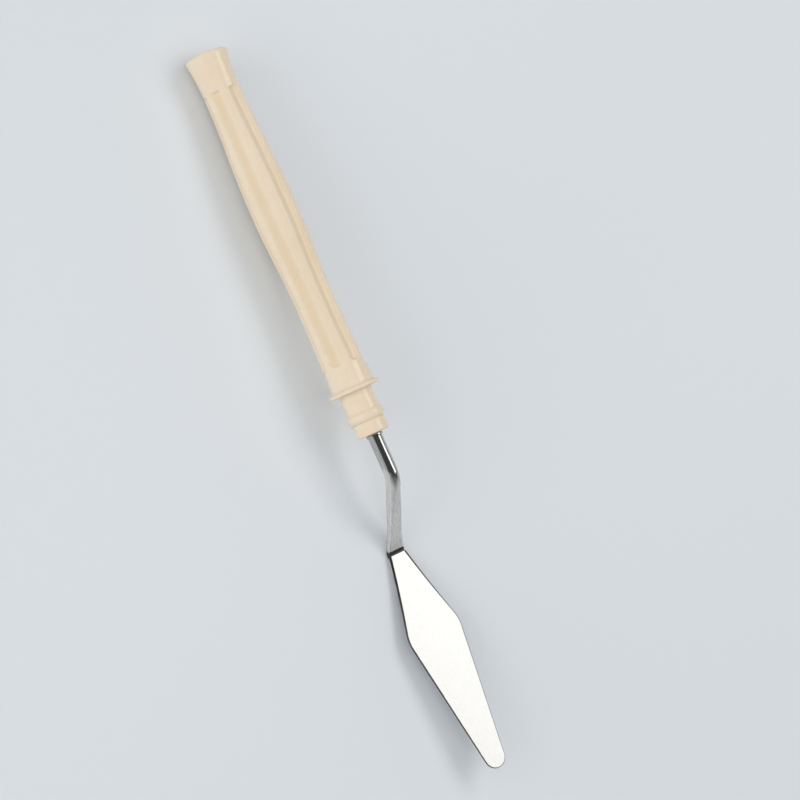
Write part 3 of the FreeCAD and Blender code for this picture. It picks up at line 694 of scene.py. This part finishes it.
def blade_steel():
    """Fine satin plate ground lengthwise; its edges are painted dark as painted reflection, darkest at the
    heel as painted contact shadow.
    """
    n = Nodes("blade_steel")
    satin_dark, satin_light = (0.63, 0.63, 0.62, 1), (0.76, 0.76, 0.75, 1)
    grainy, clouded = (0.60, 0.595, 0.575, 1), (0.70, 0.695, 0.67, 1)
    # painted dark edge reflection, near-black at the heel as painted contact shadow
    shade_at_heel, shade_beyond = (0.06, 0.06, 0.06, 1), (0.2, 0.2, 0.2, 1)
    lay = n.mark("lay", "Vector")
    cut = n.mark("edge_shade")
    along = n.add("SeparateXYZ", {0: lay}).outputs["X"]
    lines = n.noise(n.stretched(lay, (0.12, 4.0, 4.0)), 3.0, 4, 0.6)
    cloud = n.noise(lay, 0.12, 3)
    grain = n.noise(lay, 2.4, 3, 0.6)
    face = n.mix(n.ramp(lines, 0.3, 0.7), satin_dark, satin_light)
    face = n.mix(n.ramp(grain, 0.45, 0.7, 0, 0.5), face, grainy)
    face = n.mix(n.ramp(cloud, 0.4, 0.75, 0, 0.3), face, clouded)
    # painted edge shade, darkest at the heel and paler towards the tip
    edge_shade_colour = n.mix(n.ramp(along, 4, 22), shade_at_heel, shade_beyond)
    rough = n.maths("ADD", n.ramp(lines, 0.3, 0.7, 0.34, 0.42), n.maths("MULTIPLY", cut, 0.05))
    return n.finish(Base_Color=n.mix(cut, face, edge_shade_colour), Roughness=rough, Metallic=1.0,
                    Normal=n.bump(lines, 0.00002, 0.35))


def braze_metal():
    """Dark, flowed brazing metal with a faint warm tarnish."""
    n = Nodes("braze_metal")
    dark, tarnish = (0.06, 0.057, 0.054, 1), (0.15, 0.14, 0.125, 1)
    cloud = n.noise(n.place(), 900, 3)
    colour = n.mix(n.ramp(cloud, 0.35, 0.65), dark, tarnish)
    return n.finish(Base_Color=colour, Roughness=n.ramp(cloud, 0.3, 0.7, 0.35, 0.5), Metallic=1.0,
                    Normal=n.bump(cloud, 0.00008, 0.6))


def floor_card():
    """Pale grey card with a faint tooth."""
    n = Nodes("floor_card")
    grey, paler = (0.765, 0.80, 0.83, 1), (0.80, 0.83, 0.86, 1)
    place = n.place()
    cloud = n.noise(place, 2.5, 2)
    tooth = n.noise(place, 1400, 2)
    return n.finish(Base_Color=n.mix(n.ramp(cloud, 0.3, 0.7), grey, paler),
                    Roughness=n.ramp(tooth, 0.3, 0.7, 0.6, 0.75), Normal=n.bump(tooth, 0.00002, 0.3))


# ---------------------------------------------------------------- studio

CAMERA_AZIMUTH, CAMERA_ELEVATION, CAMERA_ROLL = -5.19, 57.17, -72.37
CAMERA_DISTANCE, CAMERA_LENS = 754.3, 126.0
AIM_OFFSET = (2.27, 16.65, -4.56)
PALE_UP_TO, DARK_FROM = 20, 32   # elevations in the room, in degrees
# azimuth and elevation in degrees; distance, width and height in metres; watts; colour; seen in reflections
SOFTBOXES = {
    "key": (193, 56, 1.0, 0.9, 0.47, 3.2, (1.0, 0.99, 0.97), True),
    "left_fill": (-25, 50, 1.4, 1.4, 1.4, 5.8, (1.0, 0.99, 0.975), False),
    "side_fill": (-10, 18, 1.2, 1.2, 0.6, 4.0, (1.0, 0.99, 0.975), False),
    "top_fill": (90, 75, 1.6, 1.6, 1.6, 7.6, (0.99, 0.99, 1.0), False),
}


def heading(azimuth, elevation):
    """The unit vector towards that azimuth (0 is -Y, 90 is +X) and elevation, in degrees."""
    a, e = radians(azimuth), radians(elevation)
    return Vector((sin(a) * cos(e), -cos(a) * cos(e), sin(e)))


def add_camera(middle):
    """The camera, aimed beside the knife's middle and rolled so that the knife stands steeply."""
    data = bpy.data.cameras.new("camera")
    data.lens = CAMERA_LENS
    data.clip_start, data.clip_end = 0.01, 50
    camera = bpy.data.objects.new("camera", data)
    bpy.context.scene.collection.objects.link(camera)
    back = heading(CAMERA_AZIMUTH, CAMERA_ELEVATION)
    level_right = (-back).cross(Vector((0, 0, 1))).normalized()
    level_down = (-back).cross(level_right)
    roll = radians(CAMERA_ROLL)
    right = level_right * cos(roll) + level_down * sin(roll)
    up = level_right * sin(roll) - level_down * cos(roll)
    aim = middle + Vector(AIM_OFFSET) * MM
    turn = Matrix((right, up, back)).transposed().to_4x4()
    camera.matrix_world = Matrix.Translation(aim + back * CAMERA_DISTANCE * MM) @ turn
    bpy.context.scene.camera = camera


def add_softbox(name, azimuth, elevation, distance, width, height, watts, colour, mirrored):
    """A rectangular lamp that faces the origin and is never seen itself."""
    data = bpy.data.lights.new(name, "AREA")
    data.shape = "RECTANGLE"
    data.size, data.size_y = width, height
    data.energy = watts
    data.color = colour
    light = bpy.data.objects.new(name, data)
    bpy.context.scene.collection.objects.link(light)
    way = heading(azimuth, elevation)
    light.location = way * distance
    light.rotation_euler = way.to_track_quat("Z", "Y").to_euler()
    light.visible_camera = False
    light.visible_glossy = mirrored


def add_world():
    """A room that is pale to a little above the horizon and dark overhead."""
    world = bpy.data.worlds.new("studio")
    bpy.context.scene.world = world
    world.use_nodes = True
    tree = world.node_tree
    back = tree.nodes["Background"]
    coords = tree.nodes.new("ShaderNodeTexCoord")
    split = tree.nodes.new("ShaderNodeSeparateXYZ")
    ramp = tree.nodes.new("ShaderNodeValToRGB")
    tree.links.new(coords.outputs["Generated"], split.inputs[0])
    tree.links.new(split.outputs["Z"], ramp.inputs["Fac"])
    tree.links.new(ramp.outputs["Color"], back.inputs["Color"])
    pale, dark = (0.62, 0.66, 0.70, 1), (0.075, 0.08, 0.085, 1)
    for element, elevation, colour in zip(ramp.color_ramp.elements, (PALE_UP_TO, DARK_FROM), (pale, dark)):
        element.position = sin(radians(elevation))
        element.color = colour


def add_floor(level):
    """A wide flat card under the knife."""
    half, cells = 3.0, 24
    steps = np.linspace(-half, half, cells + 1)
    verts = [(x, y, level) for y in steps for x in steps]
    row = cells + 1
    faces = [(i * row + j, i * row + j + 1, (i + 1) * row + j + 1, (i + 1) * row + j)
             for i in range(cells) for j in range(cells)]
    mesh = bpy.data.meshes.new("floor")
    mesh.from_pydata(verts, [], faces)
    mesh.materials.append(floor_card())
    floor = bpy.data.objects.new("floor", mesh)
    bpy.context.scene.collection.objects.link(floor)


# ---------------------------------------------------------------- assembly

def dress(piece, material, node):
    """Give a piece its material, tie it to the body and hide the solid it stands for."""
    piece.data.materials.append(material)
    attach(piece, "root")
    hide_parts(node)


steel = shank_steel()
dress(build_handle(), handle_plastic(), "handle")
dress(build_shank(), steel, "shank")
dress(build_ears(), steel, "shank")
dress(build_blade(), blade_steel(), "blade")
dress(build_braze(), braze_metal(), "heel_braze")

add_floor(cad_box[0].z)
add_world()
add_camera((cad_box[0] + cad_box[1]) / 2)
for name, settings in SOFTBOXES.items():
    add_softbox(name, *settings)
bpy.context.scene.view_settings.view_transform = "Standard"
